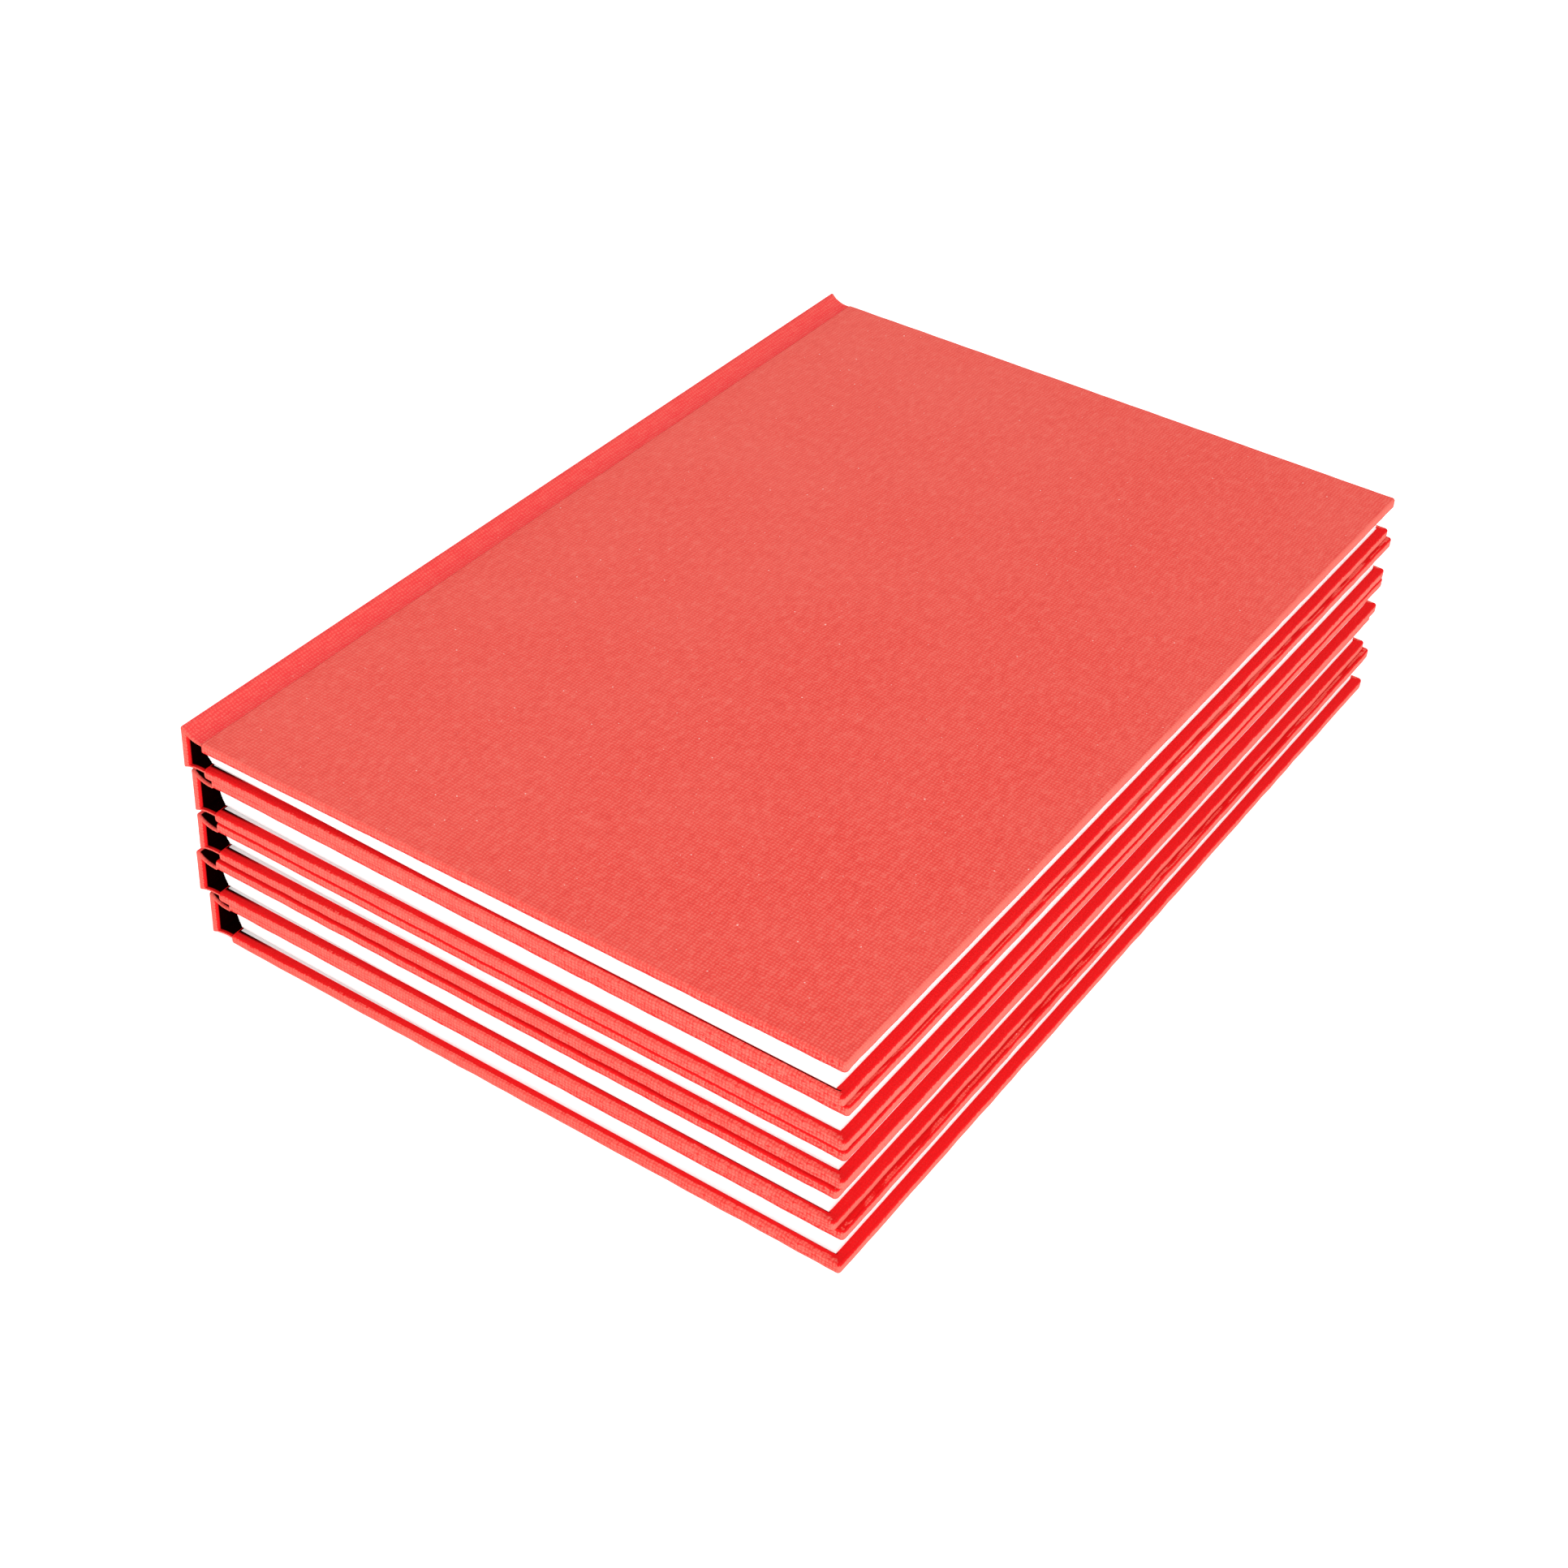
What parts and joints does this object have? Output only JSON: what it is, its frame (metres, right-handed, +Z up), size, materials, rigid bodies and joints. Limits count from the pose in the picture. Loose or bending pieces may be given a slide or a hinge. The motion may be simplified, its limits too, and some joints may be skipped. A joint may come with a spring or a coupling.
{
  "type": "stack of notebooks",
  "caption": "Stack of flat-backed hardcover notebooks in coral bookcloth, each with white pages; the top one's front cover opens at its joint.",
  "frame": {"origin": "middle of the underside of the bottom notebook, on the surface that the stack lies on", "axes": "+X from the spines to the fore-edges, +Y from the tail to the head of the notebooks, +Z up"},
  "size_m": [0.1485, 0.2213, 0.0508],
  "materials": {
    "bookcloth": "matt woven",
    "binders_board": "matt",
    "paper": "matt",
    "lining": "matt"
  },
  "bodies": {
    "stack": {"notebook1_cloth": "bookcloth", "notebook1_front_board": "binders_board", "notebook1_back_board": "binders_board", "notebook1_spine_board": "binders_board", "notebook1_front_endpaper": "paper", "notebook1_back_endpaper": "paper", "notebook1_pages": "paper", "notebook1_spine_lining": "lining", "notebook2_cloth": "bookcloth", "notebook2_front_board": "binders_board", "notebook2_back_board": "binders_board", "notebook2_spine_board": "binders_board", "notebook2_front_endpaper": "paper", "notebook2_back_endpaper": "paper", "notebook2_pages": "paper", "notebook2_spine_lining": "lining", "notebook3_cloth": "bookcloth", "notebook3_front_board": "binders_board", "notebook3_back_board": "binders_board", "notebook3_spine_board": "binders_board", "notebook3_front_endpaper": "paper", "notebook3_back_endpaper": "paper", "notebook3_pages": "paper", "notebook3_spine_lining": "lining", "notebook4_cloth": "bookcloth", "notebook4_front_board": "binders_board", "notebook4_back_board": "binders_board", "notebook4_spine_board": "binders_board", "notebook4_front_endpaper": "paper", "notebook4_back_endpaper": "paper", "notebook4_pages": "paper", "notebook4_spine_lining": "lining", "notebook5_spine_cloth": "bookcloth", "notebook5_back_board": "binders_board", "notebook5_spine_board": "binders_board", "notebook5_front_flyleaf": "paper", "notebook5_back_endpaper": "paper", "notebook5_pages": "paper", "notebook5_spine_lining": "lining"},
    "front_cover": {"notebook5_cover_cloth": "bookcloth", "notebook5_front_board": "binders_board", "notebook5_front_pastedown": "paper"}
  },
  "joints": [
    {"name": "top_front_cover_hinge", "type": "hinge", "parent": "stack", "child": "front_cover", "pos_m": [-0.07065, -0.0013, 0.04847], "axis": [0, -1, 0], "range_deg": [0, 145]}
  ]
}
